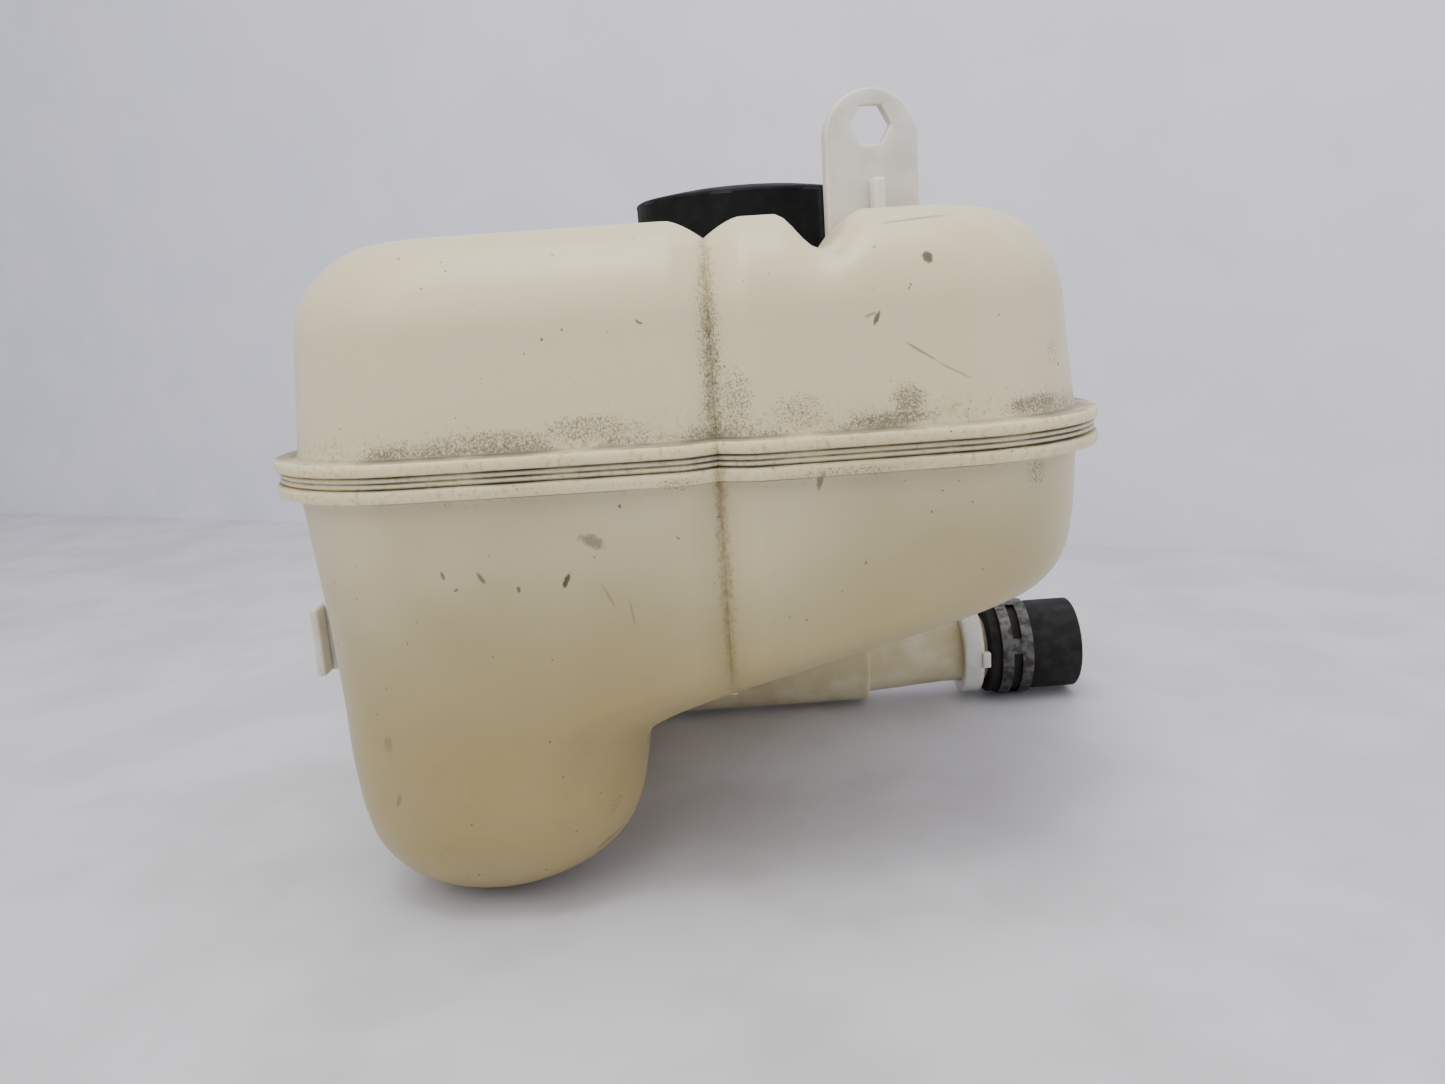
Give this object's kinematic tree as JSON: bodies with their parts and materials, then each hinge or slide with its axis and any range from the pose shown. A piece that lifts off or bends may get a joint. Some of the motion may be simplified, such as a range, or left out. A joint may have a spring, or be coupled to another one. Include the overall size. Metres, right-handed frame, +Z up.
{
  "type": "coolant expansion tank",
  "caption": "Welded two-shell plastic coolant expansion tank with a screw pressure cap, upright bracket, side rail, level switch and a clamped hose on its rear outlet.",
  "frame": {"origin": "the middle of the flat bottom of the sump, on the level the tank stands on", "axes": "+Z up through the filler neck, -Y to the front face, +X to the right, along the outlet towards the hose"},
  "size_m": [0.2542, 0.2141, 0.212],
  "materials": {
    "natural_polypropylene": "moulded, translucent, natural colour",
    "weld_polypropylene": "hot-plate weld flash, dusty",
    "pale_polypropylene": "moulded, clear-grey",
    "black_nylon": "moulded, fine satin",
    "valve_nylon": "moulded",
    "epdm_rubber": "extruded hose, matt",
    "seal_rubber": "smooth moulded",
    "spring_steel": "dull zinc, dusty",
    "stainless_steel": "bright",
    "tinned_brass": "plated",
    "clear_film": "thin clear film",
    "float_foam": "moulded foam",
    "ferrite": "sintered",
    "reed_glass": "thin glass tube"
  },
  "bodies": {
    "tank": {"upper_shell": "natural_polypropylene", "lower_shell": "natural_polypropylene", "weld_bead": "weld_polypropylene", "slosh_wall": "natural_polypropylene", "filler_neck": "natural_polypropylene", "top_bracket": "pale_polypropylene", "side_rail": "pale_polypropylene", "return_nipple": "natural_polypropylene", "outlet_duct": "natural_polypropylene", "switch_boss": "natural_polypropylene", "outlet_pipe": "natural_polypropylene", "outlet_collar": "pale_polypropylene", "hose_stub": "epdm_rubber", "hose_clamp": "spring_steel", "label": "clear_film", "switch_body": "black_nylon", "reed_switch": "reed_glass", "switch_seal": "seal_rubber", "switch_clip": "spring_steel", "terminals": "tinned_brass", "float_pin": "stainless_steel"},
    "cap_valve": {"cap_insert": "valve_nylon", "neck_gasket": "seal_rubber", "cap_seal": "seal_rubber", "valve_seat": "valve_nylon", "pressure_spring": "stainless_steel"},
    "cap": {"cap_cover": "black_nylon"},
    "pressure_valve": {"pressure_plate": "stainless_steel", "pressure_seal": "seal_rubber", "vacuum_spring": "stainless_steel"},
    "vacuum_poppet": {"vacuum_valve": "tinned_brass", "vacuum_seal": "seal_rubber", "vacuum_collar": "stainless_steel"},
    "float": {"float_arm": "valve_nylon", "level_float": "float_foam", "float_magnet": "ferrite"}
  },
  "joints": [
    {"name": "cap_lift", "type": "slide", "parent": "tank", "child": "cap_valve", "axis": [0, 0, 1], "range_m": [0, 0.0091]},
    {"name": "cap_turn", "type": "hinge", "parent": "cap_valve", "child": "cap", "pos_m": [0.085, 0.011, 0.183], "axis": [0, 0, 1], "range_deg": [0, 540]},
    {"name": "pressure_lift", "type": "slide", "parent": "cap_valve", "child": "pressure_valve", "axis": [0, 0, 1], "range_m": [0, 0.004], "stiffness_N_per_m": 6000, "springref_m": -0.0065, "deforming": ["pressure_spring"]},
    {"name": "vacuum_drop", "type": "slide", "parent": "pressure_valve", "child": "vacuum_poppet", "axis": [0, 0, -1], "range_m": [0, 0.002], "stiffness_N_per_m": 100, "springref_m": -0.003, "deforming": ["vacuum_spring"]},
    {"name": "float_swing", "type": "hinge", "parent": "tank", "child": "float", "pos_m": [0.011, 0.0655, 0.072], "axis": [-1, 0, 0], "range_deg": [0, 35]}
  ],
  "couplings": [
    {"joint": "cap_lift", "follows": "cap_turn", "m_per_rad": 0.00095493}
  ]
}
